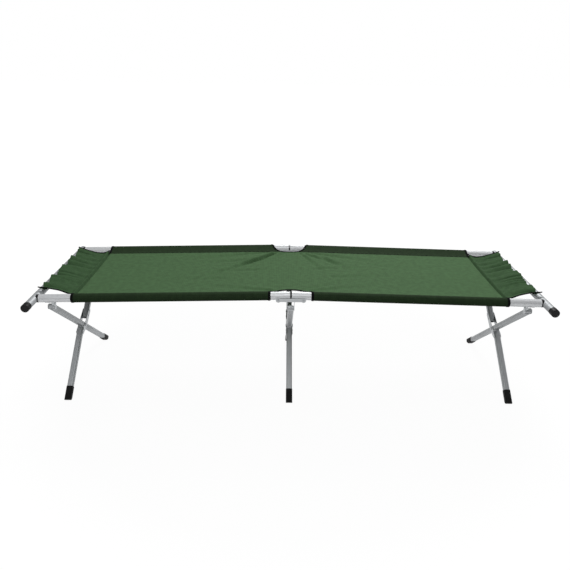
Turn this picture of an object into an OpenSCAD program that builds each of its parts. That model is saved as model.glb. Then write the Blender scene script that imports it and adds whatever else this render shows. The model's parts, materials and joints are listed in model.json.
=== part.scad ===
// Folding cot: two hinged side rails on three scissor leg frames, with pull-off end bars.
// X runs along the cot, Y across it and Z up. The origin is on the floor under the middle
// of the overall box, which the end bars' levers shift towards the front.

/* [Overall] */
// Length over the two end bars
cot_length = 1900; // [1700:10:2200]
// Distance between the two side rails, axis to axis
rail_spacing = 530; // [460:5:600]
// Height of the rail axis above the floor at the end legs
rail_height = 446; // [400:1:500]
// How much higher the rail axis is at the middle of the cot
crown = 20; // [8:1:30]
// Distance from the middle of the cot to each end leg frame
end_frame_x = 877; // [780:1:900]

/* [Side rails] */
// Outside diameter of the rail tube
rail_d = 30; // [26:1:34]
// Wall of the rail tube
rail_wall = 1.4; // [1:0.1:2]
// Width of the slit between the two halves of a rail
rail_slit = 1; // [0.6:0.1:3]
// Thickness of the flange on each rail plug
plug_flange = 2.6; // [1.5:0.1:4]
// How far a plug reaches into its tube
plug_depth = 24; // [12:1:30]
// Distance from the middle of the cot to each centre hinge rivet
hinge_x = 46; // [44:0.5:60]
// How far the hinge rivets lie below the rail axis
hinge_drop = 11; // [10.5:0.1:11.5]
// Diameter of the hinge rivets
hinge_pin_d = 5; // [4:0.1:5.4]

/* [Centre hinges] */
// Sheet thickness of the centre hinge channel
channel_t = 2; // [1.5:0.1:2.5]
// Gap between a rail and each side of the channel
channel_gap = 0.4; // [0.3:0.1:1]
// How far the sides of the channel reach beyond the rivets
channel_reach = 9; // [8:0.5:14]
// Drop from the rail axis to the top pin of the middle legs
mid_top_drop = 50; // [40:1:60]

/* [Legs] */
// Width of a leg tube, along the cot
leg_w = 23; // [18:0.5:23]
// Depth of a leg tube, in the plane of its frame
leg_d = 20; // [16:0.5:22]
// Wall of a leg tube
leg_wall = 1.4; // [1:0.1:2]
// Corner radius of a leg tube
leg_corner = 5; // [3:0.5:7]
// Width of the shallow grooves in a leg tube
groove_w = 1.6; // [1:0.1:2.5]
// Depth of the shallow grooves in a leg tube
groove_depth = 0.6; // [0.3:0.1:0.8]
// Height from the crossing bolt up to the top pins
upper_rise = 206.8; // [190:0.2:220]
// Height of the tube ends above the floor
ankle_height = 17; // [14:0.5:24]
// Diameter of the leg top pins
top_pin_d = 5; // [4:0.1:6]
// Radius of the eye at the top of each leg
eye_r = 7.2; // [6:0.1:7.4]

/* [Crossings] */
// Diameter of the crossing bolts
bolt_d = 8; // [6:0.5:9]
// Thickness of the fork plates at a crossing
fork_t = 1.6; // [1.5:0.1:1.6]
// Gap between a fork plate and the leg that passes through
fork_gap = 0.3; // [0.2:0.05:0.5]
// Height of a crossing bolt's head and nut
bolt_head_t = 1.6; // [1:0.1:1.6]
// Distance from the bolt to the lower end of the upper half leg
upper_gap = 38; // [36:1:50]
// Distance from the bolt to the upper end of the lower half leg
lower_gap = 20; // [20:1:40]
// Sideways step of the upper half leg at the bolt
upper_step = 12; // [12:0.5:18]
// Sideways step of the lower half leg at the bolt
lower_step = 16.5; // [16.5:0.5:22]

/* [Hips] */
// Drop from the rail axis to the swivel pin of an end leg frame
swivel_drop = 21.5; // [21:0.1:23]
// Distance from the swivel pin outwards to the plane of the end legs
swivel_offset = 8.5; // [8.5:0.1:10]
// Diameter of the swivel pins
swivel_pin_d = 4; // [3:0.1:5]
// Outside diameter of the swivel barrel
barrel_d = 8.6; // [8:0.1:9]
// Width of the swivel barrel, across the cot
barrel_w = 14; // [10:0.5:18]
// Drop from the rail axis to the top pin of an end leg
end_top_drop = 34.6; // [34.5:0.1:38]
// Thickness of the clevis ears and the saddle ears
ear_t = 1.6; // [1.2:0.1:1.8]

/* [Feet] */
// Width of a rubber foot, along the cot
foot_w = 25.4; // [25:0.1:25.4]
// Depth of a rubber foot, in the plane of its frame
foot_d = 25; // [22:0.5:28]
// Length of leg covered by a foot
foot_cover = 30; // [20:1:45]
// How far a foot reaches past the end of its tube
foot_toe = 25; // [20:1:34]

/* [End bars] */
// Outside diameter of an end bar
bar_d = 28; // [24:1:30]
// Wall of an end bar
bar_wall = 1.4; // [1:0.1:2]
// How far an end bar reaches past the front rail axis, as a lever to pull it off
bar_lever = 90; // [60:1:120]
// How far an end bar reaches past the back rail axis
bar_tail = 19; // [16:1:60]
// Length of the cap on the lever end of a bar
cap_length = 26; // [20:1:45]
// Diameter of the peg that holds an end bar
peg_d = 12; // [8:0.5:14]
// How far the peg reaches into an end bar
peg_reach = 18; // [10:1:22]
// Gap between an end bar and the saddle faces of the plugs
seat_gap = 0.3; // [0.2:0.05:0.5]

/* [Fabric] */
// Thickness of the deck
deck_t = 2; // [1.5:0.5:4]
// Height of the top of the deck above the rail axis
deck_rise = 14; // [12:0.5:15]
// Thickness of the sleeve round a rail
sleeve_t = 1.2; // [0.8:0.1:1.3]
// Half the gap in the sleeves over a centre hinge
sleeve_start = 76; // [74:1:90]
// Distance from the middle of the cot to the end of a sleeve
sleeve_end = 800; // [700:1:815]
// How far the cut-outs over the hinges reach in from the rail axis
cutout_depth = 30; // [24:1:50]
// How far the sides of an end flap draw in from the rail axis
flap_draw = 26; // [20:1:60]

/* [Hidden] */
$fn = 64;
run_gap = 0.05;                       // radial clearance of every running pin
trim = 0.3;                           // gap between soft pieces and their neighbours
rail_y = rail_spacing / 2;
rail_r = rail_d / 2;
tilt = atan(crown / end_frame_x);     // slope of each rail half
bar_r = bar_d / 2;
bar_x = cot_length / 2 - bar_r;       // axis of an end bar
rail_end = bar_x - bar_r - seat_gap - plug_flange;
lean = atan(rail_y / upper_rise);     // angle of a leg from the vertical
upper_len = norm([rail_y, upper_rise]);
ear_x = leg_w / 2 + fork_gap;         // inner face of every ear and fork plate
sides = ["left", "right"];
rows = ["front", "back"];
frames = ["left", "middle", "right"];

function rail_z(x) = rail_height + crown * (1 - x / end_frame_x);
hinge_z = rail_z(hinge_x) - hinge_drop;
swivel_x = end_frame_x - swivel_offset;
swivel_z = rail_z(swivel_x) - swivel_drop;
bar_z = rail_z(bar_x);
bar_front = rail_y + bar_lever;
bar_back = rail_y + bar_tail;
centre_shift = (bar_front - bar_back) / 2;  // puts the origin under the middle of the whole

// Per frame: place along the cot, and height of the top pins.
function frame_x(f) = f == 1 ? 0 : end_frame_x;
function top_z(f) = f == 1 ? rail_z(0) - mid_top_drop : rail_z(end_frame_x) - end_top_drop;
function bolt_z(f) = top_z(f) - upper_rise;
function lower_len(f) = (bolt_z(f) - ankle_height) / cos(lean);

// ---- placing ----

// Everything is drawn for the right-hand half and the front rail, then mirrored to its place.
module at(side, row) {
    if (side == 0) mirror([1, 0, 0]) at(1, row) children();
    else if (row == 1) mirror([0, 1, 0]) children();
    else children();
}

// The frame of the front right rail: local X runs out along the rail axis.
module on_rail() {
    translate([0, -rail_y, rail_z(0)]) rotate([0, tilt, 0]) children();
}

// The frame of a leg that leaves the front rail: local -Z runs down along the leg.
module on_leg(f, angle) {
    translate([frame_x(f), -rail_y, top_z(f)]) rotate([angle, 0, 0]) children();
}

module rod_x(d, x0, x1) {
    translate([x0, 0, 0]) rotate([0, 90, 0]) cylinder(d = d, h = x1 - x0);
}

module rod_y(d, y0, y1) {
    translate([0, y1, 0]) rotate([90, 0, 0]) cylinder(d = d, h = y1 - y0);
}

// Rivet with a low head on each end, along Y.
module rivet_y(d, y0, y1, head_d, head_t) {
    rod_y(d, y0, y1);
    rod_y(head_d, y0 - head_t, y0);
    rod_y(head_d, y1, y1 + head_t);
}

// ---- profiles ----

module rounded(w, d, r) {
    square([w - 2 * r, d], center = true);
    square([w, d - 2 * r], center = true);
    for (x = [-1, 1], y = [-1, 1]) translate([x * (w / 2 - r), y * (d / 2 - r)]) circle(r);
}

module leg_outline() {
    difference() {
        rounded(leg_w, leg_d, leg_corner);
        for (y = [-1, 1], x = [-1, 1])
            translate([x * leg_w / 7, y * leg_d / 2]) square([groove_w, 2 * groove_depth], center = true);
        for (x = [-1, 1]) translate([x * leg_w / 2, 0]) square([2 * groove_depth, groove_w], center = true);
    }
}

module leg_section() {
    difference() {
        leg_outline();
        rounded(leg_w - 2 * leg_wall - 2 * groove_depth, leg_d - 2 * leg_wall - 2 * groove_depth,
            leg_corner - leg_wall);
    }
}

// Leg tube from one distance below the top pin to another.
module leg_tube(from, to) {
    translate([0, 0, -to]) linear_extrude(height = to - from) leg_section();
}

// ---- side rails ----

module rail() {
    color("silver") difference() {
        on_rail() {
            difference() {
                rod_x(rail_d, rail_slit / 2 + plug_flange, rail_end);
                rod_x(rail_d - 2 * rail_wall, 0, rail_end + 1);
            }
        }
        translate([hinge_x, -rail_y, hinge_z]) rod_y(hinge_pin_d + 2 * run_gap, -rail_r, rail_r);
    }
}

// Inner plug with the hinge bore, and outer plug with the saddle face for the end bar.
module rail_plugs(with_peg) {
    inner_d = rail_d - 2 * rail_wall;
    color("#1c1c1e") {
        on_rail() {
            rod_x(rail_d, rail_slit / 2, rail_slit / 2 + plug_flange);
            rod_x(inner_d, rail_slit / 2 + plug_flange, rail_slit / 2 + plug_depth);
        }
        difference() {
            union() {
                on_rail() {
                    rod_x(inner_d, rail_end - plug_depth, rail_end);
                    rod_x(rail_d, rail_end, rail_end + plug_flange + bar_r / 2);
                }
                if (with_peg) translate([0, -rail_y, bar_z])
                    rod_x(peg_d, rail_end, bar_x - bar_r + peg_reach);
            }
            translate([bar_x, -rail_y, bar_z]) difference() {
                rod_y(bar_d + 2 * seat_gap, -rail_d, rail_d);
                if (with_peg) rod_x(peg_d, -bar_d, bar_d);
            }
        }
    }
}

// ---- centre hinges ----

// Channel under the rail joint, with two ears below it for the top of a middle leg.
module centre_hinge() {
    inner = rail_d + 2 * channel_gap;
    outer = inner + 2 * channel_t;
    base_z = rail_z(hinge_x) - rail_r - channel_gap;
    web_half = hinge_x - rail_r + hinge_drop - 2;
    color("#c9ccd0") difference() {
        union() {
            for (y = [-1, 1]) translate([0, -rail_y + y * (inner + channel_t) / 2, 0])
                rotate([90, 0, 0]) translate([0, 0, -channel_t / 2]) linear_extrude(height = channel_t) {
                    translate([-hinge_x, base_z - channel_t])
                        square([2 * hinge_x, hinge_z + channel_reach - base_z]);
                    for (x = [-1, 1]) translate([x * hinge_x, hinge_z]) circle(channel_reach);
                }
            translate([-web_half, -rail_y - outer / 2, base_z - channel_t])
                cube([2 * web_half, outer, channel_t]);
            for (x = [-1, 1]) translate([x * (ear_x + ear_t / 2), -rail_y, 0])
                rotate([90, 0, 90]) translate([0, 0, -ear_t / 2]) linear_extrude(height = ear_t) {
                    translate([-outer / 2, base_z - channel_t - 6]) square([outer, 6.5]);
                    translate([-10, top_z(1)]) square([20, base_z - channel_t - top_z(1)]);
                    translate([0, top_z(1)]) circle(10);
                }
        }
        for (x = [-1, 1]) translate([x * hinge_x, -rail_y, hinge_z]) rod_y(hinge_pin_d, -outer, outer);
        translate([0, -rail_y, top_z(1)]) rod_x(top_pin_d, -leg_w, leg_w);
    }
}

module hinge_rivets() {
    half = rail_r + channel_gap + channel_t;
    color("#8d9094") for (x = [-1, 1]) translate([x * hinge_x, -rail_y, hinge_z])
        rivet_y(hinge_pin_d, -half, half, 9, 1.4);
}

// ---- hips: where an end leg hangs from its rail ----

// Saddle plate curved to the rail, with two ears and the pin that the hip swivels on.
module hip_saddle() {
    ear_y = barrel_w / 2 + 0.2;
    pin_half = ear_y + ear_t;
    color("#b9bcc1") {
        difference() {
            union() {
                intersection() {
                    on_rail() rod_x(rail_d + 2 * ear_t, swivel_x - 4.5, end_frame_x + 20);
                    translate([end_frame_x, -rail_y, rail_z(swivel_x) - rail_r - 2])
                        cube([100, 2 * pin_half, 8], center = true);
                }
                for (y = [-1, 1]) translate([swivel_x, -rail_y + y * (ear_y + ear_t / 2), swivel_z])
                    rotate([90, 0, 0]) translate([0, 0, -ear_t / 2]) linear_extrude(height = ear_t) {
                        circle(4.5);
                        translate([-4.5, 0]) square([9, swivel_drop - rail_r + 4]);
                    }
            }
            on_rail() rod_x(rail_d, swivel_x - 40, end_frame_x + 40);
        }
        translate([swivel_x, -rail_y, swivel_z]) rivet_y(swivel_pin_d, -pin_half, pin_half, 6.5, 1);
    }
}

// Swivel: a barrel on the hip pin, with a clevis below it for the eye of the leg.
module hip_swivel() {
    web_top = swivel_z - 3.2;
    web_half = ear_x + ear_t;
    web_y = barrel_w / 2 - 0.1;       // clear of the saddle's ears
    pin_z = top_z(2);
    color("#b9bcc1") difference() {
        union() {
            translate([swivel_x, -rail_y, swivel_z]) rod_y(barrel_d, -barrel_w / 2, barrel_w / 2);
            translate([swivel_x - barrel_d / 2, -rail_y - barrel_w / 2, web_top - ear_t / 2])
                cube([barrel_d, barrel_w, swivel_z - web_top + ear_t / 2]);
            translate([end_frame_x - web_half, -rail_y - web_y, web_top - ear_t])
                cube([2 * web_half, 2 * web_y, ear_t]);
            for (x = [-1, 1]) translate([end_frame_x + x * (ear_x + ear_t / 2), -rail_y, 0])
                rotate([90, 0, 90]) translate([0, 0, -ear_t / 2]) linear_extrude(height = ear_t) {
                    translate([-web_y, pin_z]) square([2 * web_y, web_top - pin_z]);
                    translate([0, pin_z]) circle(9);
                }
        }
        translate([swivel_x, -rail_y, swivel_z]) rod_y(swivel_pin_d + 2 * run_gap, -barrel_w, barrel_w);
        translate([end_frame_x, -rail_y, pin_z]) rod_x(top_pin_d, -leg_w, leg_w);
    }
}

module top_pin(f) {
    half = ear_x + ear_t;
    color("#8d9094") translate([frame_x(f), -rail_y, top_z(f)]) rod_x(top_pin_d, -half, half);
}

// ---- legs ----

upper_angle = lean - atan(upper_step / upper_len);
upper_end = norm([upper_len, upper_step]) - upper_gap;
function lower_angle(f) = lean - atan(lower_step / lower_len(f));
function lower_top(f) = norm([lower_len(f), lower_step]) - lower_gap;
function ankle_y(f) = -rail_y + (top_z(f) - ankle_height) * tan(lean);

// Bored eye that plugs the top of a leg tube, which is cut off level with the pin.
module leg_eye() {
    rod_x(2 * eye_r, -leg_w / 2, leg_w / 2);
    translate([0, 0, -16]) linear_extrude(height = 16)
        rounded(leg_w - 2 * leg_wall - 2 * groove_depth, leg_d - 2 * leg_wall - 2 * groove_depth,
            leg_corner - leg_wall);
}

module top_pin_bore() {
    rod_x(top_pin_d + 2 * run_gap, -leg_w, leg_w);
}

// One straight leg, from the front rail down to the back foot.
module through_leg(f) {
    color("#c4c7cb") on_leg(f, lean) difference() {
        union() {
            leg_tube(0, upper_len + lower_len(f));
            leg_eye();
        }
        top_pin_bore();
        translate([0, 0, -upper_len]) rod_x(bolt_d + 2 * run_gap, -leg_w, leg_w);
    }
}

// Frame of the lower half leg: origin at its ankle, local Z up along the tube.
module on_lower(f, angle) {
    translate([frame_x(f), ankle_y(f), ankle_height]) rotate([angle, 0, 0]) children();
}

rivet_d = 5;
upper_rivets = [12, 34];              // from the cut end of the upper half leg
lower_rivets = [9, 22];               // from the cut end of the lower half leg

module split_leg_upper(f) {
    color("#c4c7cb") on_leg(f, upper_angle) difference() {
        union() {
            leg_tube(0, upper_end);
            leg_eye();
        }
        top_pin_bore();
        for (d = upper_rivets) translate([0, 0, d - upper_end]) rod_x(rivet_d, -leg_w, leg_w);
    }
}

module split_leg_lower(f) {
    color("#c4c7cb") on_lower(f, lower_angle(f)) difference() {
        linear_extrude(height = lower_top(f)) leg_section();
        for (d = lower_rivets) translate([0, 0, lower_top(f) - d]) rod_x(rivet_d, -leg_w, leg_w);
    }
}

// Two plates that carry the split leg past the through leg, with their rivets.
module fork(f) {
    half = ear_x + fork_t;
    color("#d6d8dc") {
        difference() {
            for (x = [-ear_x - fork_t, ear_x]) translate([frame_x(f) + x, 0, 0]) {
                hull() {
                    on_bolt(f) disc_x(13);
                    drop_x(f) on_leg(f, upper_angle)
                        translate([0, 0, upper_rivets[1] - upper_end]) disc_x(9);
                }
                hull() {
                    on_bolt(f) disc_x(13);
                    drop_x(f) on_lower(f, lower_angle(f))
                        translate([0, 0, lower_top(f) - lower_rivets[1]]) disc_x(8);
                }
            }
            translate([frame_x(f), 0, bolt_z(f)]) rod_x(bolt_d + 2 * run_gap, -leg_w, leg_w);
        }
        on_leg(f, upper_angle) for (d = upper_rivets) translate([0, 0, d - upper_end]) fork_rivet(half);
        on_lower(f, lower_angle(f)) for (d = lower_rivets) translate([0, 0, lower_top(f) - d]) fork_rivet(half);
    }
}

module on_bolt(f) {
    translate([0, 0, bolt_z(f)]) children();
}

module drop_x(f) {
    translate([-frame_x(f), 0, 0]) children();
}

module disc_x(r) {
    rotate([0, 90, 0]) cylinder(r = r, h = fork_t, $fn = 32);
}

module fork_rivet(half) {
    rod_x(rivet_d, -half, half);
    for (x = [-half - 1, half]) translate([x, 0, 0]) rod_x(8, 0, 1);
}

module crossing_bolt(f) {
    half = ear_x + fork_t + (f == 1 ? run_gap : 0);
    color("#8d9094") translate([frame_x(f), 0, bolt_z(f)]) {
        rod_x(bolt_d, -half, half);
        rod_x(14, half, half + bolt_head_t);
        rod_x(13, -half - bolt_head_t, -half);
    }
}

// Rubber boot round the end of a leg, with its sole flat on the floor.
module foot(f, angle) {
    color("#141416") difference() {
        on_lower(f, angle) translate([0, 0, -foot_toe]) linear_extrude(height = foot_toe + foot_cover)
            rounded(foot_w, foot_d, leg_corner + 1.5);
        on_lower(f, angle) linear_extrude(height = foot_cover + 1) rounded(leg_w, leg_d, leg_corner);
        translate([frame_x(f) - 50, ankle_y(f) - 150, -200]) cube([100, 300, 200]);
    }
}

// ---- end bars ----

module end_bar() {
    color("silver") translate([bar_x, 0, bar_z]) difference() {
        rod_y(bar_d, 3 - bar_front, bar_back - 2);
        rod_y(bar_d - 2 * bar_wall, -bar_front, bar_back);
        translate([0, -rail_y, 0]) rod_x(peg_d + 2 * run_gap, -bar_d, 0);
    }
}

// Cup over the lever end, and a flanged plug in the back end.
module bar_caps() {
    cap_r = bar_r + 0.9;
    color("#141416") translate([bar_x, 0, bar_z]) {
        translate([0, -bar_front, 0]) rotate([-90, 0, 0]) difference() {
            rotate_extrude() {
                square([cap_r - 2, cap_length]);
                translate([0, 2]) square([cap_r, cap_length - 2]);
                translate([cap_r - 2, 2]) circle(2);
            }
            translate([0, 0, 3]) cylinder(r = bar_r, h = cap_length);
        }
        rod_y(bar_d, bar_back - 2, bar_back);
        rod_y(bar_d - 2 * bar_wall, bar_back - 12, bar_back - 2);
    }
}

// ---- fabric ----

// Sleeve of the fabric round one rail half.
module sleeve() {
    color("#26391f") on_rail() difference() {
        rod_x(rail_d + 2 * sleeve_t, sleeve_start, sleeve_end);
        rod_x(rail_d, sleeve_start - 1, sleeve_end + 1);
    }
}

// Half of the deck with its end flap, drawn in at the sides beyond the sleeves.
module deck() {
    hang = sqrt(pow(rail_r + sleeve_t, 2) - pow(deck_rise - deck_t, 2));
    side_y = rail_y - hang - trim;
    flap_y = rail_y - flap_draw;
    hem_x = bar_x - bar_d;
    color("#4d6a4b") translate([0, 0, rail_z(0)]) rotate([0, tilt, 0]) {
        translate([0, 0, deck_rise - deck_t]) linear_extrude(height = deck_t)
            polygon([[sleeve_start, -side_y], [sleeve_end, -side_y], [sleeve_end + 60, -flap_y],
                [hem_x, -flap_y], [hem_x, flap_y], [sleeve_end + 60, flap_y],
                [sleeve_end, side_y], [sleeve_start, side_y]]);
        translate([hem_x - 6, -flap_y, deck_rise - deck_t]) cube([18, 2 * flap_y, 2 * deck_t + trim]);
        translate([hem_x, -flap_y, bar_r + trim]) cube([bar_d, 2 * flap_y, deck_t]);
    }
}

// Strip of the deck over the centre hinges, cut back from both rails.
module centre_deck() {
    half_y = rail_y - cutout_depth;
    color("#4d6a4b") translate([-sleeve_start + trim, -half_y, rail_z(sleeve_start) + deck_rise - deck_t])
        cube([2 * (sleeve_start - trim), 2 * half_y, deck_t]);
}

// ---- the nodes ----

module drawn(name) {
    translate([0, centre_shift, 0]) children();
}

for (s = [0, 1], r = [0, 1]) {
    half = str(sides[s], "_", rows[r], "_");
    drawn(str(half, "rail")) at(s, r) rail();
    drawn(str(half, "rail_plugs")) at(s, r) rail_plugs(r == 0);
    drawn(str(half, "hip_saddle")) at(s, r) hip_saddle();
    drawn(str(half, "hip_swivel")) at(s, r) hip_swivel();
    drawn(str(half, "sleeve")) at(s, r) sleeve();
}
for (r = [0, 1]) {
    drawn(str(rows[r], "_centre_hinge")) at(1, r) centre_hinge();
    drawn(str(rows[r], "_hinge_rivets")) at(1, r) hinge_rivets();
}
for (f = [0, 1, 2]) {
    s = f == 0 ? 0 : 1;
    for (r = [0, 1]) drawn(str(frames[f], "_", rows[r], "_top_pin")) at(s, r) top_pin(f);
    drawn(str(frames[f], "_through_leg")) at(s, 0) through_leg(f);
    drawn(str(frames[f], "_split_leg_upper")) at(s, 1) split_leg_upper(f);
    drawn(str(frames[f], "_split_leg_lower")) at(s, 1) split_leg_lower(f);
    drawn(str(frames[f], "_fork")) at(s, 1) fork(f);
    drawn(str(frames[f], "_crossing_bolt")) at(s, 0) crossing_bolt(f);
    drawn(str(frames[f], "_back_foot")) at(s, 0) foot(f, lean);
    drawn(str(frames[f], "_front_foot")) at(s, 1) foot(f, lower_angle(f));
}
for (s = [0, 1]) {
    drawn(str(sides[s], "_end_bar")) at(s, 0) end_bar();
    drawn(str(sides[s], "_bar_caps")) at(s, 0) bar_caps();
    drawn(str(sides[s], "_deck")) at(s, 0) deck();
}
drawn("centre_deck") centre_deck();
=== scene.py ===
# Folding camp cot, dressed: cloth deck with sewn casings, end flaps and bound cut-outs on the CAD frame.
import json
import math

import bpy
import numpy as np
from mathutils import Matrix, Vector


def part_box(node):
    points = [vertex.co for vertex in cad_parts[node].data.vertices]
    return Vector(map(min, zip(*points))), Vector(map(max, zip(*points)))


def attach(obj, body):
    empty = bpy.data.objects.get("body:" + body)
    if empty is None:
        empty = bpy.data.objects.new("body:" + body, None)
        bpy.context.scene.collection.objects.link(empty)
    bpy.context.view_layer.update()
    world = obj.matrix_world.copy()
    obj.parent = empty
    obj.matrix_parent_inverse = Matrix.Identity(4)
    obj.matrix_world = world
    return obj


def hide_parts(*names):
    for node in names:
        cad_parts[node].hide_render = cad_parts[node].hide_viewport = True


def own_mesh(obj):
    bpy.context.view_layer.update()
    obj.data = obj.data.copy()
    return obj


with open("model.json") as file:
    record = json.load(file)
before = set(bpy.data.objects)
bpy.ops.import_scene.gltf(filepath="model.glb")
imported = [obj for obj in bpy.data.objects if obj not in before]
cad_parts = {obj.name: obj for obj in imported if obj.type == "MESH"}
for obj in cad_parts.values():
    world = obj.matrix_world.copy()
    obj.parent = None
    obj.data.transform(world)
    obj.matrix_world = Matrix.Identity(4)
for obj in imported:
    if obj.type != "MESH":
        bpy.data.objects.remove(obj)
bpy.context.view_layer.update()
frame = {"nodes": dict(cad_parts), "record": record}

sides = {"left": -1, "right": 1}
rows = {"front": -1, "back": 1}


# ---- what the frame gives: everything below is placed from these ----

def measureFrame():
    railLow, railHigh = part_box("right_front_rail")
    backLow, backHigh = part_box("right_back_rail")
    barLow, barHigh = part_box("right_end_bar")
    sleeveLow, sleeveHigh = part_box("right_front_sleeve")
    radius = (railHigh.y - railLow.y) / 2
    fall = (railHigh.z - radius) - (railLow.z + radius)
    slope = fall / (railHigh.x - railLow.x)
    frontY = (railLow.y + railHigh.y) / 2
    backY = (backLow.y + backHigh.y) / 2
    return {
        "frontY": frontY,
        "backY": backY,
        "middleY": (frontY + backY) / 2,
        "halfSpan": (backY - frontY) / 2,
        "railRadius": radius,
        "slope": slope,
        "axisAtMiddle": railHigh.z - radius + railLow.x * slope,
        "sleeveStart": sleeveLow.x,
        "sleeveEnd": sleeveHigh.x,
        "barX": (barLow.x + barHigh.x) / 2,
        "barRadius": (barHigh.x - barLow.x) / 2,
    }


cot = measureFrame()


# ---- small helpers ----

def rgb(code, alpha=1.0):
    # sRGB hex to linear light: divide by 12.92 near black, a power of 2.4 above
    parts = [int(code[i:i + 2], 16) / 255 for i in (0, 2, 4)]
    return [c / 12.92 if c <= 0.04045 else ((c + 0.055) / 1.055) ** 2.4 for c in parts] + [alpha]


def smooth(t):
    # 3t^2 - 2t^3 between 0 and 1
    t = np.clip(t, 0, 1)
    return t * t * (3 - 2 * t)


def gridFaces(nu, nv, closeU=False, closeV=False, first=0):
    u = np.arange(nu if closeU else nu - 1)
    v = np.arange(nv if closeV else nv - 1)
    uu, vv = np.meshgrid(u, v, indexing="ij")
    nextU, nextV = (uu + 1) % nu, (vv + 1) % nv
    cells = np.stack([uu * nv + vv, nextU * nv + vv, nextU * nv + nextV, uu * nv + nextV], -1)
    return cells.reshape(-1, 4) + first


def surface(name, *patches):
    # a patch is (points[u, v, 3], uv[u, v, 2], settings): each becomes one island of quads, row by row
    spots, places, faces, slots = [], [], [], []
    first = 0
    for points, uv, settings in patches:
        nu, nv = points.shape[:2]
        cells = gridFaces(nu, nv, settings.get("closeU", False), settings.get("closeV", False), first)
        if settings.get("flip"):
            cells = cells[:, ::-1]
        slot = settings.get("slot", 0)
        slots.append(np.full(len(cells), slot) if np.ndim(slot) == 0 else slot.reshape(-1))
        spots.append(points.reshape(-1, 3))
        places.append(uv.reshape(-1, 2))
        faces.append(cells)
        first += nu * nv
    spots, places, faces = np.concatenate(spots), np.concatenate(places), np.concatenate(faces)
    mesh = bpy.data.meshes.new(name)
    mesh.from_pydata(spots.tolist(), [], faces.tolist())
    layer = mesh.uv_layers.new(name="UVMap")
    layer.data.foreach_set("uv", places[faces.reshape(-1)].astype(np.float32).ravel())
    mesh.polygons.foreach_set("material_index", np.concatenate(slots).astype(np.int32))
    mesh.shade_smooth()
    corners = np.zeros(len(mesh.loops), np.int32)
    mesh.loops.foreach_get("edge_index", corners)
    border = np.bincount(corners, minlength=len(mesh.edges)) == 1
    mesh.attributes.new("sharp_edge", "BOOLEAN", "EDGE").data.foreach_set("value", border)
    piece = bpy.data.objects.new(name, mesh)
    bpy.context.scene.collection.objects.link(piece)
    return piece


def paint(piece, *materials):
    chosen = np.zeros(len(piece.data.polygons), np.int32)
    piece.data.polygons.foreach_get("material_index", chosen)
    piece.data.materials.clear()
    for material in materials:
        piece.data.materials.append(material)
    piece.data.polygons.foreach_set("material_index", chosen)


def thicken(piece, thickness, offset=0.0):
    wall = piece.modifiers.new("thickness", "SOLIDIFY")
    wall.thickness = thickness
    wall.offset = offset


def flatUv(x, y):
    return np.stack(np.broadcast_arrays(x, y), -1)


# ---- materials ----

def addNode(tree, kind, settings=None, **links):
    # one node with its settings; links name its inputs, or in0, in1 for sockets by number
    node = tree.nodes.new(kind)
    for key, value in (settings or {}).items():
        if isinstance(key, int) or key in node.inputs:
            node.inputs[key].default_value = value
        else:
            setattr(node, key, value)
    for key, socket in links.items():
        tree.links.new(socket, node.inputs[int(key[2:]) if key.startswith("in") else key.replace("_", " ")])
    return node


def newMaterial(name, colour, roughness, metallic=0.0, **sockets):
    material = bpy.data.materials.new(name)
    material.use_nodes = True
    shader = material.node_tree.nodes["Principled BSDF"]
    shader.inputs["Base Color"].default_value = rgb(colour)
    shader.inputs["Roughness"].default_value = roughness
    shader.inputs["Metallic"].default_value = metallic
    for key, value in sockets.items():
        shader.inputs[key.replace("_", " ")].default_value = value
    return material, material.node_tree, shader


def ramp(tree, stops, fac):
    # colour ramp with (position, linear colour) stops
    node = addNode(tree, "ShaderNodeValToRGB", {}, Fac=fac)
    first, last = node.color_ramp.elements
    first.position, first.color = stops[0]
    last.position, last.color = stops[-1]
    for position, colour in stops[1:-1]:
        node.color_ramp.elements.new(position).color = colour
    return node


def shade(colour, share):
    return [c * share for c in rgb(colour)[:3]] + [1]


def connect(tree, shader, tone, rough, bump):
    tree.links.new(tone.outputs[0], shader.inputs["Base Color"])
    tree.links.new(rough.outputs[0], shader.inputs["Roughness"])
    tree.links.new(bump.outputs[0], shader.inputs["Normal"])


metals = {
    # along: scale of the die lines' noise, low in the tube's own direction
    "rail": {"colour": "DCDEE0", "roughness": 0.42, "metallic": 0.40, "along": (0.03, 1, 1)},
    "bar": {"colour": "B2B5B7", "roughness": 0.52, "metallic": 0.45, "along": (1, 0.03, 1)},
    "leg": {"colour": "B0B3B5", "roughness": 0.46, "metallic": 0.6, "along": (1, 0.08, 0.08)},
    "plate": {"colour": "C2C5C7", "roughness": 0.36, "metallic": 0.85},
    "rivet": {"colour": "A9ACAF", "roughness": 0.30, "metallic": 0.9},
    "dieLine": 0.0032,        # spacing of the die lines, drawn coarse enough to show
}


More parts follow.
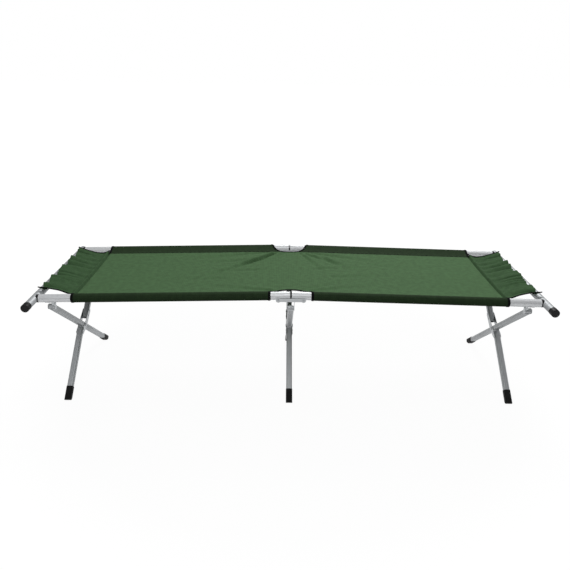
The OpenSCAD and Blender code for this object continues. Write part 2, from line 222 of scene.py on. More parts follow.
def drawnAluminium(name, choice):
    # extruded and left as drawn: fine die lines run lengthwise, and a cloudy oxide dulls it in patches
    roughness = choice["roughness"]
    material, tree, shader = newMaterial(name, choice["colour"], roughness, choice["metallic"])
    place = addNode(tree, "ShaderNodeTexCoord")
    stretch = addNode(tree, "ShaderNodeMapping", {"Scale": choice["along"]}, Vector=place.outputs["Object"])
    lines = addNode(tree, "ShaderNodeTexNoise",
                    {"Scale": 1 / metals["dieLine"], "Detail": 4, "Roughness": 0.6},
                    Vector=stretch.outputs[0])
    cloud = addNode(tree, "ShaderNodeTexNoise", {"Scale": 14, "Detail": 3}, Vector=place.outputs["Object"])
    wear = addNode(tree, "ShaderNodeTexNoise", {"Scale": 90, "Detail": 6, "Roughness": 0.7},
                   Vector=place.outputs["Object"])
    mixed = addNode(tree, "ShaderNodeMath", {"operation": "ADD"}, in0=lines.outputs["Fac"],
                    in1=cloud.outputs["Fac"])
    rough = addNode(tree, "ShaderNodeMapRange", {"From Min": 0.6, "From Max": 1.4, "To Min": roughness - 0.08,
                                                 "To Max": roughness + 0.14}, Value=mixed.outputs[0])
    dull = addNode(tree, "ShaderNodeMath", {"operation": "MULTIPLY_ADD", 1: 0.35}, in0=wear.outputs["Fac"],
                   in2=lines.outputs["Fac"])
    tone = ramp(tree, [(0.42, shade(choice["colour"], 0.84)), (0.62, rgb(choice["colour"])),
                       (0.86, shade(choice["colour"], 1.08))], dull.outputs[0])
    bump = addNode(tree, "ShaderNodeBump", {"Strength": 0.14, "Distance": 0.0004},
                   Height=lines.outputs["Fac"])
    connect(tree, shader, tone, rough, bump)
    return material


def zincPlate(name, choice):
    # bright zinc on pressed steel: 2.5 mm crystal patches and rub marks shift its gloss and tone
    roughness = choice["roughness"]
    material, tree, shader = newMaterial(name, choice["colour"], roughness, choice["metallic"])
    place = addNode(tree, "ShaderNodeTexCoord")
    patch = addNode(tree, "ShaderNodeTexVoronoi", {"Scale": 400}, Vector=place.outputs["Object"])
    cloud = addNode(tree, "ShaderNodeTexNoise", {"Scale": 60, "Detail": 4}, Vector=place.outputs["Object"])
    rough = addNode(tree, "ShaderNodeMapRange", {"To Min": roughness - 0.08, "To Max": roughness + 0.16},
                    Value=cloud.outputs["Fac"])
    tone = ramp(tree, [(0.0, rgb(choice["colour"])), (1.0, shade(choice["colour"], 0.8))],
                patch.outputs["Distance"])
    bump = addNode(tree, "ShaderNodeBump", {"Strength": 0.1, "Distance": 0.0003}, Height=cloud.outputs["Fac"])
    connect(tree, shader, tone, rough, bump)
    return material


def mouldedBlack(name, colour, roughness, grain, depth):
    # moulded black plastic or rubber: the eroded tool face leaves an even matt grain, and scuffs dull it
    material, tree, shader = newMaterial(name, colour, roughness, Specular_IOR_Level=0.22)
    place = addNode(tree, "ShaderNodeTexCoord")
    pits = addNode(tree, "ShaderNodeTexNoise", {"Scale": grain, "Detail": 5, "Roughness": 0.65},
                   Vector=place.outputs["Object"])
    scuff = addNode(tree, "ShaderNodeTexNoise", {"Scale": 45, "Detail": 6, "Roughness": 0.7},
                    Vector=place.outputs["Object"])
    rough = addNode(tree, "ShaderNodeMapRange", {"From Min": 0.35, "From Max": 0.7, "To Min": roughness - 0.1,
                                                 "To Max": roughness + 0.15}, Value=scuff.outputs["Fac"])
    tone = ramp(tree, [(0.45, rgb(colour)), (0.8, shade(colour, 1.9))], scuff.outputs["Fac"])
    bump = addNode(tree, "ShaderNodeBump", {"Strength": 0.35, "Distance": depth}, Height=pits.outputs["Fac"])
    connect(tree, shader, tone, rough, bump)
    return material


weave = {
    "thread": 0.0069115,      # real threads lie 0.4 mm apart; drawn coarse so that the weave shows
    "stitch": 0.0036,         # length of one stitch with its gap
    "stitchGap": 0.0035,      # from a sewn edge to its row of stitches
}


def wovenPolyester(name, colour, dark, crumple=1.0, stitchAt=None):
    # coated oxford cloth: plain weave of warp and weft, faint rumples, and a soft sheen from the coating;
    # where the piece's second UV axis nears stitchAt, a dashed row of thread lies on it
    material, tree, shader = newMaterial(name, colour, 0.85, Specular_IOR_Level=0.09)
    place = addNode(tree, "ShaderNodeTexCoord")
    source = place.outputs["UV"]
    count = math.pi / 10 / weave["thread"]    # a wave texture of scale 1 turns 20 radians per metre
    warp = addNode(tree, "ShaderNodeTexWave", {"Scale": count, "wave_type": "BANDS", "bands_direction": "X",
                                               "Distortion": 0.6, "Detail": 1}, Vector=source)
    weft = addNode(tree, "ShaderNodeTexWave", {"Scale": count, "wave_type": "BANDS", "bands_direction": "Y",
                                               "Distortion": 0.6, "Detail": 1}, Vector=source)
    cross = addNode(tree, "ShaderNodeMath", {"operation": "MULTIPLY"}, in0=warp.outputs["Fac"],
                    in1=weft.outputs["Fac"])
    rumple = addNode(tree, "ShaderNodeTexNoise",
                     {"Scale": 9, "Detail": 3, "Roughness": 0.5, "Distortion": 0.8}, Vector=source)
    fine = addNode(tree, "ShaderNodeTexNoise", {"Scale": 55, "Detail": 4}, Vector=source)
    level = addNode(tree, "ShaderNodeMath", {"operation": "MULTIPLY_ADD", 1: 0.35}, in0=cross.outputs[0],
                    in2=fine.outputs["Fac"])
    tone = ramp(tree, [(0.3, rgb(dark)), (0.85, rgb(colour))], level.outputs[0])
    soft = addNode(tree, "ShaderNodeBump", {"Strength": 0.3 * crumple, "Distance": 0.005},
                   Height=rumple.outputs["Fac"])
    threads = addNode(tree, "ShaderNodeBump", {"Strength": 0.3, "Distance": 0.0004}, Height=cross.outputs[0],
                      Normal=soft.outputs[0])
    base, normal = tone.outputs[0], threads.outputs[0]
    if stitchAt is not None:
        parts = addNode(tree, "ShaderNodeSeparateXYZ", {}, Vector=source)
        away = addNode(tree, "ShaderNodeMath", {"operation": "SUBTRACT", 1: stitchAt}, in0=parts.outputs[1])
        away = addNode(tree, "ShaderNodeMath", {"operation": "ABSOLUTE"}, in0=away.outputs[0])
        row = addNode(tree, "ShaderNodeMapRange", {"From Min": 0.0003, "From Max": 0.0009, "To Min": 1.0,
                                                   "To Max": 0.0}, Value=away.outputs[0])
        dash = addNode(tree, "ShaderNodeMath", {"operation": "PINGPONG", 1: weave["stitch"] / 2},
                       in0=parts.outputs[0])
        dash = addNode(tree, "ShaderNodeMapRange", {"From Min": weave["stitch"] * 0.12,
                                                    "From Max": weave["stitch"] * 0.2}, Value=dash.outputs[0])
        thread = addNode(tree, "ShaderNodeMath", {"operation": "MULTIPLY"}, in0=row.outputs[0],
                         in1=dash.outputs[0])
        mix = addNode(tree, "ShaderNodeMix", {"data_type": "RGBA"}, Factor=thread.outputs[0])
        tree.links.new(base, mix.inputs["A"])
        mix.inputs["B"].default_value = shade(colour, 1.5)
        sewn = addNode(tree, "ShaderNodeBump", {"Strength": 0.6, "Distance": 0.0006},
                       Height=thread.outputs[0], Normal=normal)
        base, normal = mix.outputs["Result"], sewn.outputs[0]
    tree.links.new(base, shader.inputs["Base Color"])
    tree.links.new(normal, shader.inputs["Normal"])
    return material


finishes = {
    "rail_tube": drawnAluminium("millAluminiumRail", metals["rail"]),
    "bar_tube": drawnAluminium("millAluminiumBar", metals["bar"]),
    "leg_tube": drawnAluminium("drawnAluminiumLeg", metals["leg"]),
    "zinc_steel": zincPlate("zincPlatedSteel", metals["plate"]),
    "rivet_steel": zincPlate("platedRivet", metals["rivet"]),
    "black_plastic": mouldedBlack("mouldedPlastic", "0E0E0F", 0.5, 900, 0.0003),
    "foot_rubber": mouldedBlack("mouldedRubber", "0C0C0C", 0.7, 600, 0.0004),
}
deckCloth = wovenPolyester("oxfordPolyester", "4D6C48", "41593C")
# painted shade: the flap cloth gets a darker tone than the deck, standing in for the shade of its folds
foldShadeCloth = wovenPolyester("oxfordPolyesterFoldShade", "3F5B3B", "334A30", 1.6)
# painted shade: the doubled casing cloth gets a darker tone than the deck, standing in for the backlight its
# two layers block
casingClothPaintedShade = wovenPolyester("oxfordPolyesterDoubled", "293A24", "202E1D", 0.6,
                             stitchAt=weave["stitchGap"])
bindingTape = wovenPolyester("polyesterBinding", "0E110F", "090B0A", 0.3)
for entry in frame["record"]["subparts"]:
    if entry["material_slot"] in finishes:
        paint(frame["nodes"][entry["node"]], finishes[entry["material_slot"]])
print("stage: materials on the frame")


# ---- deck cloth: heights are over the rail axes, e is the distance inwards from the nearer rail axis ----

cloth = {
    "thickness": 0.0009,      # two-ply coated cloth
    "wrap": 0.0012,           # rail surface to the middle of the cloth round it
    "seam": {"front": 0.030, "back": 0.046},     # rail axis to the seam; with the legs closed they don't meet
    "allowance": 0.008,       # doubled cloth beyond the seam
    "splitAt": 0.046,         # the panels meet the strip here, over the rails' own pivots
    "seamLift": 0.001,        # height of the cloth at the seams
    "sag": 0.0055,            # dip of the sheet between the seams
    "bandSlack": 0.0011,      # how far the casing's upper side dips between rail and seam
    "cutHalf": 0.0735,        # half width of a cut-out, along the rail
    "cutDepth": 0.054,        # how far a cut-out reaches in from the rail axis
    "cutPowers": (2.6, 0.62),                    # of the curve in cutOut
    "cutFrom": 0.003,         # a cut-out's curve starts this far in from the rail axis
    "cutLoss": 0.026,         # mean width that both cut-outs take off the strip
    "lap": 0.003,             # how far the sheet runs in under the casings' seams
    "ridge": 0.010,           # rounding of the fall of the rails, over the hinges
    "crowding": 0.09,         # how much closer the sheet's columns lie along the seams
}


def wrapPoint(rowName):
    # where the line from the seam touches the cloth round the rail: the seam's angle plus acos(r / distance)
    radius = cot["railRadius"] + cloth["wrap"]
    seam = cloth["seam"][rowName]
    tip = math.atan2(cloth["seamLift"], seam)
    turn = math.acos(radius / math.hypot(seam, cloth["seamLift"]))
    return radius, tip + turn, tip - turn


def deckHeight(rowName, e):
    # circle over the rail, then a slightly slack line down to the seam, level beyond it
    radius, upper, _ = wrapPoint(rowName)
    startE, startZ = radius * math.cos(upper), radius * math.sin(upper)
    t = np.clip((e - startE) / (cloth["seam"][rowName] - startE), 0, 1)
    line = startZ + (cloth["seamLift"] - startZ) * t - cloth["bandSlack"] * np.sin(math.pi * t)
    ring = np.sqrt(np.clip(radius ** 2 - np.square(e), 0, None))
    return np.where(e < startE, ring, line)


def fromRail(y):
    return cot["halfSpan"] - np.abs(y - cot["middleY"])


def seamNear(y):
    return np.where(y < cot["middleY"], cloth["seam"]["front"], cloth["seam"]["back"])


def toFrame(side, x, y, z):
    # local height over the sloping rail axes to the shared frame
    x, y, z = np.broadcast_arrays(x, y, z)
    return np.stack([side * x, y, cot["axisAtMiddle"] - x * cot["slope"] + z], -1)


creaseShape = {
    "widening": 1.4,          # added width over the crease's length, in widths
    "fadeIn": 0.03,
    "lip": (1.5, 0.6),        # the raised lip beside the valley: distance in widths, height in depths
    "clear": 0.02,            # creases grow over this distance from a seam
    "blend": 0.06,            # the halves' creases mix over this length in the middle
}
creases = {
    # start x, start y from the middle, length, dy/dx, depth, width: a valley that widens and fades
    "left": [
        (0.058, 0.205, 0.56, -0.92, 0.0120, 0.0068),
        (0.100, 0.150, 0.34, -0.62, 0.0058, 0.0075),
        (0.090, 0.214, 0.50, -0.22, 0.0040, 0.0090),
        (0.030, 0.205, 0.30, -1.90, 0.0046, 0.0095),
        (0.064, -0.214, 0.36, 0.22, 0.0045, 0.0090),
        (0.110, 0.010, 0.28, -0.06, 0.0034, 0.0100),
        (0.170, 0.130, 0.34, -0.20, 0.0036, 0.0100),
        (0.250, -0.080, 0.30, -0.03, 0.0026, 0.0100),
    ],
    "right": [
        (0.060, 0.205, 0.34, -0.80, 0.0062, 0.0085),
        (0.046, 0.205, 0.30, -2.40, 0.0056, 0.0080),
        (0.070, 0.212, 0.52, -0.30, 0.0042, 0.0100),
        (0.130, 0.180, 0.26, -1.40, 0.0044, 0.0085),
        (0.064, -0.214, 0.34, 0.30, 0.0044, 0.0090),
        (0.050, -0.206, 0.24, 0.65, 0.0036, 0.0090),
        (0.100, 0.030, 0.26, 0.05, 0.0034, 0.0100),
        (0.160, -0.060, 0.30, 0.12, 0.0030, 0.0100),
        (0.330, 0.100, 0.26, -0.28, 0.0026, 0.0120),
    ],
}


def creaseField(sideName, x, y):
    # valley exp(-(d / w)^2) with a low lip on one side, faded in near its start and out along its length
    y = y - cot["middleY"]
    lipAt, lipHeight = creaseShape["lip"]
    height = np.zeros(np.broadcast_shapes(np.shape(x), np.shape(y)))
    for startX, startY, length, rise, depth, width in creases[sideName]:
        run = np.array([1.0, rise]) / math.hypot(1, rise)
        along = (x - startX) * run[0] + (y - startY) * run[1]
        away = -(x - startX) * run[1] + (y - startY) * run[0]
        spread = width * (1 + creaseShape["widening"] * np.clip(along / length, 0, 1))
        fade = smooth(along / creaseShape["fadeIn"] + 0.4) * (1 - smooth(along / length))
        height -= depth * fade * np.exp(-np.square(away / spread))
        height += lipHeight * depth * fade * np.exp(-np.square((away - lipAt * spread) / spread))
    return height


def sheetHeight(x, y):
    # casing line near the rails, a shallow dip 1 - t^4 between the seams, and the creases of both halves
    e = fromRail(y)
    front, back = cloth["seam"]["front"], cloth["seam"]["back"]
    height = np.where(y < cot["middleY"], deckHeight("front", e), deckHeight("back", e))
    between = cot["halfSpan"] - (front + back) / 2
    t = np.clip(np.abs(y - cot["middleY"] - (front - back) / 2) / between, 0, 1)
    height = height - cloth["sag"] * (1 - t ** 4)
    inside = smooth((e - seamNear(y)) / creaseShape["clear"])
    share = smooth(x / creaseShape["blend"] + 0.5)
    field = share * creaseField("right", x, y) + (1 - share) * creaseField("left", -x, y)
    return height + field * inside


def cutOut(x):
    # half moon over each centre hinge: depth times (1 - |t|^a)^b, with t = x over its half width
    a, b = cloth["cutPowers"]
    t = np.clip(np.abs(x) / cloth["cutHalf"], 0, 1)
    return cloth["cutDepth"] * (1 - t ** a) ** b


def cutReach(e):
    # the same curve solved for x
    a, b = cloth["cutPowers"]
    return cloth["cutHalf"] * (1 - (e / cloth["cutDepth"]) ** (1 / b)) ** (1 / a)


def sheetWidth(x, s):
    # y across the sheet, from the back seam (s = 0) to the front one, narrowed by the cut-outs
    back = cot["middleY"] + cot["halfSpan"] - np.maximum(cloth["seam"]["back"] - cloth["lap"], cutOut(x))
    front = cot["middleY"] - cot["halfSpan"] + np.maximum(cloth["seam"]["front"] - cloth["lap"], cutOut(x))
    return back + (front - back) * s


def ridge(x):
    # |x| with its corner rounded off over the hinges
    away = np.abs(x)
    rounded = np.sqrt(x ** 2 + cloth["ridge"] ** 2)
    return away + (rounded - away) * (1 - smooth(away / cloth["splitAt"]))


def doubledShadeCells(y, slot):
    # material slot of each cell: the doubled cloth along both seams, which carries the painted shade of the
    # casing cloth, plain elsewhere
    near = fromRail(y) < seamNear(y) + cloth["allowance"]
    return (near[:-1, :-1] & near[1:, 1:]).astype(np.int32) * slot


# ---- end flaps ----

flap = {
    "drawStart": 0.026,       # rail axis to the flap's edge where the casing ends
    "drawMiddle": 0.052,      # the same half way
    "drawHem": 0.036,         # and at the hem
    "drawMean": 0.046,        # for the flap's flat area
    "fullness": 1.12,         # cloth in the flap's folds over its plain length
    "hemReach": -0.0045,      # furthest point of the hem past the axis of the end bar
    "hem": 0.014,             # turned under
    "hemGap": 0.0008,         # between the flap and its turned hem
    "hemFold": 0.0012,        # further gap just behind the hem's fold
    "tuck": 0.001,            # the flap starts this far before the cross seam
    "scallop": {"left": 0.013, "right": 0.011},  # depth of the bays between the hem's points
    "points": {"left": [0.0, 0.22, 0.47, 0.72, 0.89, 1.0], "right": [0.0, 0.24, 0.49, 0.82, 1.0]},
    "tooth": (1.3, 0.88),     # power of a tooth's fall, and where the step to the next begins
    "foldHeight": 0.0120,
    "foldLength": [0.075, 0.060, 0.085, 0.070, 0.060, 0.05],
    "small": (0.0036, 15, 3.1),                  # small sharp folds: height, count, and count of their beat
    "long": (0.0022, 8.3),                       # long soft folds: height, count
    "groove": (0.030, 0.022, 0.0025),            # valley past the cross seam: place, width, depth
    "overBar": 0.0016,        # cloth's middle over the top of the end bar
}


def hemWave(sideName, f):
    # saw-tooth from each hem point: 1 just past it, falling as 1 - t^power, with a steep step up at the next
    points = flap["points"][sideName]
    power, stepAt = flap["tooth"]
    folds = flap["foldLength"]
    wave, length = np.zeros(np.shape(f)), np.full(np.shape(f), folds[0])
    for index, (start, end) in enumerate(zip(points[:-1], points[1:])):
        t = (f - start) / (end - start)
        here = (t >= 0) & (t <= 1)
        fall = 1 - np.clip(t, 0, 1) ** power
        step = smooth((t - stepAt) / (1 - stepAt))
        wave = np.where(here, fall * (1 - step) + step, wave)
        length = np.where(here, folds[index] * (1 - t) + folds[index + 1] * t, length)
    return wave, length


def flapEdge(x):
    # rail axis to the flap's side: quadratic through its start, middle and hem values
    t = np.clip((x - cot["sleeveEnd"]) / (cot["barX"] - cot["sleeveEnd"]), 0, 1.1)
    a, b, c = flap["drawStart"], flap["drawMiddle"], flap["drawHem"]
    return a + (4 * b - 3 * a - c) * t + (2 * a + 2 * c - 4 * b) * t ** 2


def flapGrid(sideName, uCount=120, vCount=281):
    # u runs from the cross seam to the hem, v across from back (0) to front (1)
    f = np.linspace(0, 1, vCount)[None, :]
    u = np.linspace(0, 1, uCount)[:, None]
    wave, length = hemWave(sideName, f)
    hemX = cot["barX"] + flap["hemReach"] - flap["scallop"][sideName] * (1 - wave) ** 1.2
    startX = cot["sleeveEnd"] - flap["tuck"]
    x = startX + (hemX - startX) * u
    half = cot["halfSpan"] - flapEdge(x)
    y = cot["middleY"] + half * (1 - 2 * f)
    return x, y, f, wave, length, hemX


def flapHeight(x, y, f, wave, length, hemX):
    # from the sheet at the cross seam to the top of the end bar, with folds that grow towards the hem
    t = smooth((x - cot["sleeveEnd"]) / (cot["barX"] - 0.010 - cot["sleeveEnd"]))
    start = sheetHeight(cot["sleeveEnd"] + 0 * x, y)
    top = cot["barRadius"] + flap["overBar"]
    height = start * (1 - t) + top * t
    past = np.clip(x - cot["barX"], 0, 0.02)
    height -= cot["barRadius"] - np.sqrt(cot["barRadius"] ** 2 - past ** 2)
    grow = np.clip(1 - (hemX - x) / length, 0, 1)
    height += flap["foldHeight"] * grow ** 1.5 * (wave - 0.12)
    smallHeight, count, beat = flap["small"]
    small = 1 - 2 * np.abs(np.sin(math.pi * (f * count + 0.6 * np.sin(9 * f) + 0.3))) ** 0.6
    small = small * (0.55 + 0.45 * np.sin(2 * math.pi * (f * beat + 0.2)))
    height -= smallHeight * small * smooth((x - cot["sleeveEnd"] - 0.012) / 0.08)
    longHeight, count = flap["long"]
    long = np.sin(2 * math.pi * (f * count + 0.5 * np.sin(5 * f + x * 6)))
    height += longHeight * long * smooth((x - cot["sleeveEnd"]) / 0.03)
    place, width, depth = flap["groove"]
    dip = (x - cot["sleeveEnd"] - place) / width
    return height - depth * np.exp(-dip ** 2)


crossSeamParts = ((0.002, 0.0046, -0.0085), (0.011, 0.006, 0.0026))    # place, width, height


def crossSeam(x):
    # the sheet and the flap are sewn together: a groove beside the seam and the turned allowance beyond it
    d = x - cot["sleeveEnd"]
    return sum(height * np.exp(-np.square((d - place) / width)) for place, width, height in crossSeamParts)


def sheetShares():
    # shares across the sheet, closer together along both seams
    s = np.linspace(0, 1, 141)
    return (s - cloth["crowding"] * np.sin(2 * math.pi * s))[None, :]


def buildPanel(sideName):
    side = sides[sideName]
    # main sheet between the two casings
    x = np.linspace(cloth["splitAt"], cot["sleeveEnd"] + 0.0002, 200)[:, None]
    y = sheetWidth(x, sheetShares())
    z = sheetHeight(side * x, y) + crossSeam(x) * smooth((fromRail(y) - 0.03) / 0.02)
    patches = [(toFrame(side, x, y, z), flatUv(x, y), {"flip": side > 0, "slot": doubledShadeCells(y, 2)})]
    # end flap, in the darker cloth that carries its painted fold shade
    x, y, f, wave, length, hemX = flapGrid(sideName)
    z = flapHeight(x, y, f, wave, length, hemX) + crossSeam(x)
    patches.append((toFrame(side, x, y, z), flatUv(x, y), {"flip": side > 0, "slot": 1}))
    # hem turned under along the flap's end
    turn = np.linspace(0, 1, 9)[:, None]
    endX, endY, endZ = (values[-1][None, :] for values in (x, y, z))
    under = endX - flap["hem"] * turn
    down = endZ - flap["hemGap"] - flap["hemFold"] * np.sin(math.pi * np.clip(turn * 4, 0, 1) / 2)
    lift = flapHeight(under, endY, f, wave, length, hemX) - endZ
    patches.append((toFrame(side, under, endY + 0 * turn, down + lift * smooth(turn * 3)),
                    flatUv(under, endY), {"flip": side > 0, "slot": 1}))
    panel = surface(f"{sideName}Panel", *patches)
    paint(panel, deckCloth, foldShadeCloth, casingClothPaintedShade)
    thicken(panel, cloth["thickness"])
    return panel


def buildStrip():
    # sheet over the centre hinges, cut to a half moon at both ends
    x = np.linspace(-cloth["splitAt"], cloth["splitAt"], 61)[:, None]
    y = sheetWidth(x, sheetShares())
    z = cot["axisAtMiddle"] - ridge(x) * cot["slope"] + sheetHeight(x, y)
    points = np.stack(np.broadcast_arrays(x, y, z), -1)
    strip = surface("centreStrip", (points, flatUv(x, y), {"flip": True, "slot": doubledShadeCells(y, 1)}))
    paint(strip, deckCloth, casingClothPaintedShade)
    thicken(strip, cloth["thickness"])
    return strip


casingWaves = {
    "pucker": (0.0004, 0.019, 0.012),            # height, spacing, reach from the seam
    "slack": (0.0005, 0.13, 0.0002),             # height, spacing, limit upwards
    "underSag": 0.0016,
    "stack": (0.0005, 0.0007),                   # upper and under cloth beside the middle one at the seam
    "phase": {"left": 0.0, "right": 1.7},
}


def pathLength(path):
    return np.concatenate([[0], np.cumsum(np.linalg.norm(np.diff(path, axis=0), axis=1))])


def casingProfile(rowName, upCount=14, ringCount=43, downCount=15):
    # seam, up the slack line, round the outside of the rail, and back under to the seam: e, z and length
    above, below = casingWaves["stack"]
    radius, upper, lower = wrapPoint(rowName)
    seam = np.array([cloth["seam"][rowName], cloth["seamLift"]])
    top = radius * np.array([math.cos(upper), math.sin(upper)])
    under = radius * np.array([math.cos(lower), math.sin(lower)])
    t = np.linspace(0, 1, upCount + 1)[:-1, None]
    rise = seam + (top - seam) * t
    rise[:, 1:] -= cloth["bandSlack"] * np.sin(math.pi * t)
    rise[:, 1:] += above * (1 - t)
    angle = np.linspace(upper, lower + 2 * math.pi, ringCount)[:, None]
    ring = radius * np.concatenate([np.cos(angle), np.sin(angle)], 1)
    t = np.linspace(0, 1, downCount + 1)[1:, None]
    back = under + (seam - under) * t
    back[:, 1:] -= casingWaves["underSag"] * np.sin(math.pi * t)
    back[:, 1:] -= below * t
    path = np.concatenate([rise, ring, back])
    return path[:, 0], path[:, 1], pathLength(path)


def buildCasing(sideName, rowName):
    # the profile carried along the sloping rail, with faint puckers at the seam and slack waves between
    side, row = sides[sideName], rows[rowName]
    e, z, length = (values[None, :] for values in casingProfile(rowName))
    x = np.linspace(cot["sleeveStart"], cot["sleeveEnd"], 220)[:, None]
    phase = casingWaves["phase"][sideName] + row
    depth, spacing, extent = casingWaves["pucker"]
    near = np.exp(-np.square((e - cloth["seam"][rowName]) / extent))
    pucker = depth * np.sin(2 * math.pi * x / spacing + 1.3 * np.sin(17 * x + phase)) * near
    depth, spacing, limit = casingWaves["slack"]
    slack = depth * np.sin(2 * math.pi * x / spacing + phase) * np.sin(math.pi * length / length.max())
    y = cot["middleY"] + row * (cot["halfSpan"] - e)
    height = z + pucker + np.minimum(slack, limit) * np.sign(z) * (np.abs(z) < 0.012)
    # its upper side runs on past the end as a corner of the half moon
    lugE = np.linspace(cloth["cutFrom"], cloth["seam"][rowName], 24)[None, :]
    lugX = cutReach(lugE) + (cot["sleeveStart"] - cutReach(lugE)) * np.linspace(0, 1, 12)[:, None]
    lugY = cot["middleY"] + row * (cot["halfSpan"] - lugE)
    casing = surface(f"{sideName}{rowName.capitalize()}Casing",
                     (toFrame(side, x, y, height), flatUv(x, length), {"flip": side * row > 0}),
                     (toFrame(side, lugX, lugY, deckHeight(rowName, lugE)),
                      flatUv(lugX, cloth["seam"][rowName] + 0.002 - lugE), {"flip": side * row < 0}))
    # painted shade: the whole casing takes the darker tone of the doubled cloth
    paint(casing, casingClothPaintedShade)
    thicken(casing, cloth["thickness"])
    return casing


tape = {
    "width": 0.0085,
    "thickness": 0.0007,      # of the tape itself, round the casings' ends
    "overhang": 0.0012,       # past a casing's end
    "rise": 0.0016,           # over the casing
    "sink": 0.0002,           # of its edges into the casing
    "clear": {"flap": 0.0002, "cut": 0.0003},    # its middle over the cloth's middle
    "folded": 0.0038,         # height of a tape folded over an edge
    "flapShare": 0.8,         # the flaps have a narrower tape
    "tip": 0.005,             # loose end past the hem
}


def casingBinding(sideName, rowName):
    # tape folded over each end of a casing: the profile moved outwards by a low rounded step
    side, row = sides[sideName], rows[rowName]
    profile = casingProfile(rowName)
    slopeE, slopeZ = np.gradient(profile[0]), np.gradient(profile[1])
    size = np.hypot(slopeE, slopeZ)
    outE, outZ = slopeZ / size, -slopeE / size
    outside = int(np.argmax(profile[0] <= cloth["cutFrom"]))
    patches = []
    for end, inward, first in ((cot["sleeveStart"], 1, outside), (cot["sleeveEnd"], -1, 0)):
        e, z, length = (values[first:] for values in profile)
        across = np.linspace(0, 1, 9)[:, None]
        x = end - inward * tape["overhang"] + inward * (tape["width"] + tape["overhang"]) * across
        rise = tape["rise"] * np.sqrt(np.clip(1 - (2 * across - 1) ** 6, 0, 1)) - tape["sink"]
        y = cot["middleY"] + row * (cot["halfSpan"] - (e + outE[first:] * rise))
        patches.append((toFrame(side, x, y, z + outZ[first:] * rise), flatUv(x, length),
                        {"flip": side * row * inward > 0}))
    binding = surface(f"{sideName}{rowName.capitalize()}CasingBinding", *patches)
    paint(binding, bindingTape)
    thicken(binding, tape["thickness"])
    return binding


def tapePatch(path, width):
    # flat oval carried along the path, its width in the cloth's plane, drawn together at both ends
    tangent = np.gradient(path, axis=0)
    tangent /= np.linalg.norm(tangent, axis=1)[:, None]
    sideways = np.cross(tangent, [0.0, 0.0, 1.0])
    sideways /= np.linalg.norm(sideways, axis=1)[:, None]
    upward = np.cross(sideways, tangent)
    angle = np.linspace(0, 2 * math.pi, 17)[:-1]
    ends = np.ones(len(path))
    ends[0] = ends[-1] = 0.02
    flat = 0.5 * width * np.sign(np.cos(angle)) * np.abs(np.cos(angle)) ** 0.7
    thick = 0.5 * tape["folded"] * np.sign(np.sin(angle)) * np.abs(np.sin(angle)) ** 0.7
    ring = (path[:, None] + sideways[:, None] * (ends[:, None] * flat[None])[..., None]
            + upward[:, None] * (ends[:, None] * thick[None])[..., None])
    return ring, flatUv(pathLength(path)[:, None], flat[None, :]), {"closeV": True, "flip": True}


def flapBinding(sideName):
    # tape along both sides of the flap, running a little past the hem as a loose tip
    side = sides[sideName]
    x, y, f, wave, length, hemX = flapGrid(sideName)
    z = flapHeight(x, y, f, wave, length, hemX)
    patches = []
    for column in (0, -1):
        edge = toFrame(side, x[:, column], y[:, column], z[:, column] + tape["clear"]["flap"])
        run = edge[-1] - edge[-2]
        run /= np.linalg.norm(run)
        tip = edge[-1] + run * np.linspace(0.001, tape["tip"], 5)[:, None] + np.array([0, 0, 0.0005])
        patches.append(tapePatch(np.concatenate([edge, tip]), tape["width"] * tape["flapShare"]))
    binding = surface(f"{sideName}FlapBinding", *patches)
    paint(binding, bindingTape)
    return binding


def cutBinding(rowName, where, low, high):
    # tape on the half moon, over the stretch of its curve between two distances from the middle
    x = np.sin(np.linspace(-0.5, 0.5, 181) * math.pi) * (cloth["cutHalf"] - 0.0004)
    x = x[(x >= low) & (x <= high)]
    e = np.maximum(cloth["cutFrom"], cutOut(x))
    y = cot["middleY"] + rows[rowName] * (cot["halfSpan"] - e)
    height = np.where(e > cloth["seam"][rowName], sheetHeight(x, y), deckHeight(rowName, e))
    z = cot["axisAtMiddle"] - ridge(x) * cot["slope"] + height + tape["clear"]["cut"]
    patch = tapePatch(np.stack([x, y, z], -1), tape["width"])
    binding = surface(f"{where}{rowName.capitalize()}CutBinding", patch)
    paint(binding, bindingTape)
    return binding


def gather(piece, body):
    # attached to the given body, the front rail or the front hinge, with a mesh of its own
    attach(piece, body)
    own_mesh(piece)


for sideName, side in sides.items():
    edging = [flapBinding(sideName)]
    stretch = sorted((side * cloth["splitAt"], side * cutReach(cloth["seam"]["front"])))
    edging.append(cutBinding("front", f"{sideName}Panel", *stretch))
    panel = buildPanel(sideName)
    for piece in [panel, *edging]:
        gather(piece, f"{sideName}_front_rail")
    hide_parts(f"{sideName}_deck")
    for rowName in rows:
        casing = buildCasing(sideName, rowName)
        corner = sorted((side * cloth["cutHalf"], side * cutReach(cloth["seam"][rowName])))
        tapes = [casingBinding(sideName, rowName), cutBinding(rowName, f"{sideName}Casing", *corner)]
        for piece in [casing, *tapes]:
            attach(piece, f"{sideName}_{rowName}_rail")
        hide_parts(f"{sideName}_{rowName}_sleeve")
        around = casingProfile(rowName)[2][-1]
strip = buildStrip()
reach = {rowName: min(cloth["splitAt"], cutReach(cloth["seam"][rowName])) for rowName in rows}
edges = [cutBinding(rowName, "strip", -reach[rowName], reach[rowName]) for rowName in rows]
for piece in [strip, *edges]:
    gather(piece, "front_hinge")
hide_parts("centre_deck")
print("stage: cloth")


# ---- floor, light and camera ----

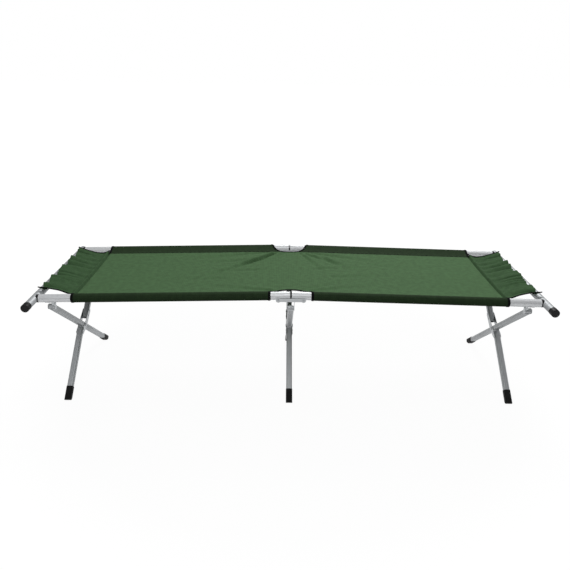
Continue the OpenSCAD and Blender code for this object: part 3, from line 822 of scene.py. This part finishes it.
studio = {
    "focal": 35.72,           # mm, as is the sensor's width
    "sensor": 36,
    "place": (-0.0381, -2.1541, 1.3025),      # from the middle of the legs, on the floor
    "yaw": 0.0084,            # radians, as are pitch and roll
    "pitch": 0.3982,
    "roll": 0.0135,
    "zenith": 0.48,           # strength of the white sky overhead
    "horizon": 0.12,
    "floor": "9A9A9A",
    "floorSize": 20,
    "floorGlow": 1.07,
    "floorFade": (0.9, 2.2, 0.90, 1.0),       # glow's share: from and to distance, from and to value
    "aim": (0, 0, 0.35),                      # where the lamps point
    "lamps": {
        "key": {"place": (0.7, 2.2, 2.9), "power": 72, "size": 1.2},
        "side": {"place": (2.8, 0.4, 1.8), "power": 8, "size": 1.0},
        "front": {"place": (-0.6, -2.4, 2.6), "power": 28, "size": 1.0},
    },
}


def aimCamera():
    data = bpy.data.cameras.new("camera")
    data.lens = studio["focal"]
    data.sensor_width = studio["sensor"]
    camera = bpy.data.objects.new("camera", data)
    bpy.context.scene.collection.objects.link(camera)
    yaw, pitch, roll = studio["yaw"], studio["pitch"], studio["roll"]
    forward = Vector((math.sin(yaw) * math.cos(pitch), math.cos(yaw) * math.cos(pitch), -math.sin(pitch)))
    right = Vector((math.cos(yaw), -math.sin(yaw), 0))
    up = right.cross(forward)
    turnedRight = right * math.cos(roll) + up * math.sin(roll)
    turnedUp = up * math.cos(roll) - right * math.sin(roll)
    turn = Matrix((turnedRight, turnedUp, -forward)).transposed().to_4x4()
    place = Vector(studio["place"]) + Vector((0, cot["middleY"], 0))
    camera.matrix_world = Matrix.Translation(place) @ turn
    bpy.context.scene.camera = camera


def paleFloor():
    # white to the camera and in reflections, pale grey to everything else; fades to plain white far out
    steps = np.linspace(-1, 1, 41)
    spread = studio["floorSize"] * np.sign(steps) * np.abs(steps) ** 1.6
    x, y = spread[:, None], spread[None, :]
    floor = surface("floor", (np.stack(np.broadcast_arrays(x, y, 0 * x - 0.0005), -1), flatUv(x, y), {}))
    material = bpy.data.materials.new("paleFloor")
    material.use_nodes = True
    tree = material.node_tree
    shader = tree.nodes["Principled BSDF"]
    shader.inputs["Base Color"].default_value = rgb(studio["floor"])
    shader.inputs["Roughness"].default_value = 0.9
    shader.inputs["Specular IOR Level"].default_value = 0.0
    ray = addNode(tree, "ShaderNodeLightPath")
    seen = addNode(tree, "ShaderNodeMath", {"operation": "MAXIMUM"}, in0=ray.outputs["Is Camera Ray"],
                   in1=ray.outputs["Is Glossy Ray"])
    seen = addNode(tree, "ShaderNodeMath", {"operation": "MAXIMUM"}, in0=seen.outputs[0],
                   in1=ray.outputs["Is Transmission Ray"])
    place = addNode(tree, "ShaderNodeTexCoord")
    away = addNode(tree, "ShaderNodeVectorMath", {"operation": "LENGTH"}, Vector=place.outputs["Object"])
    limits = dict(zip(("From Min", "From Max", "To Min", "To Max"), studio["floorFade"]))
    share = addNode(tree, "ShaderNodeMapRange", limits, Value=away.outputs["Value"])
    amount = addNode(tree, "ShaderNodeMath", {"operation": "MULTIPLY"}, in0=seen.outputs[0],
                     in1=share.outputs[0])
    white = addNode(tree, "ShaderNodeEmission", {"Color": (1, 1, 1, 1), "Strength": studio["floorGlow"]})
    mix = addNode(tree, "ShaderNodeMixShader", {}, Fac=amount.outputs[0], in1=shader.outputs[0],
                  in2=white.outputs[0])
    tree.links.new(mix.outputs[0], tree.nodes["Material Output"].inputs["Surface"])
    paint(floor, material)


def softLight():
    world = bpy.data.worlds.new("studio")
    world.use_nodes = True
    tree = world.node_tree
    sky = tree.nodes["Background"]
    sky.inputs["Color"].default_value = rgb("FFFFFF")
    ray = addNode(tree, "ShaderNodeLightPath")
    place = addNode(tree, "ShaderNodeTexCoord")
    height = addNode(tree, "ShaderNodeSeparateXYZ", {}, Vector=place.outputs["Generated"])
    limits = {"From Min": -0.05, "From Max": 0.9, "To Min": studio["horizon"], "To Max": studio["zenith"]}
    dome = addNode(tree, "ShaderNodeMapRange", limits, Value=height.outputs[2])
    plain = addNode(tree, "ShaderNodeMath", {"operation": "SUBTRACT", 0: 1.0}, in1=dome.outputs[0])
    strength = addNode(tree, "ShaderNodeMath", {"operation": "MULTIPLY_ADD"}, in0=plain.outputs[0],
                       in1=ray.outputs["Is Camera Ray"], in2=dome.outputs[0])
    tree.links.new(strength.outputs[0], sky.inputs["Strength"])
    bpy.context.scene.world = world
    for name, lamp in studio["lamps"].items():
        data = bpy.data.lights.new(name, "AREA")
        data.energy = lamp["power"]
        data.size = lamp["size"]
        light = bpy.data.objects.new(name, data)
        bpy.context.scene.collection.objects.link(light)
        light.location = lamp["place"]
        beam = Vector(studio["aim"]) - Vector(lamp["place"])
        light.rotation_euler = beam.to_track_quat("-Z", "Y").to_euler()


aimCamera()
paleFloor()
softLight()
bpy.context.scene.view_settings.view_transform = "Standard"
print("stage: floor, light and camera")
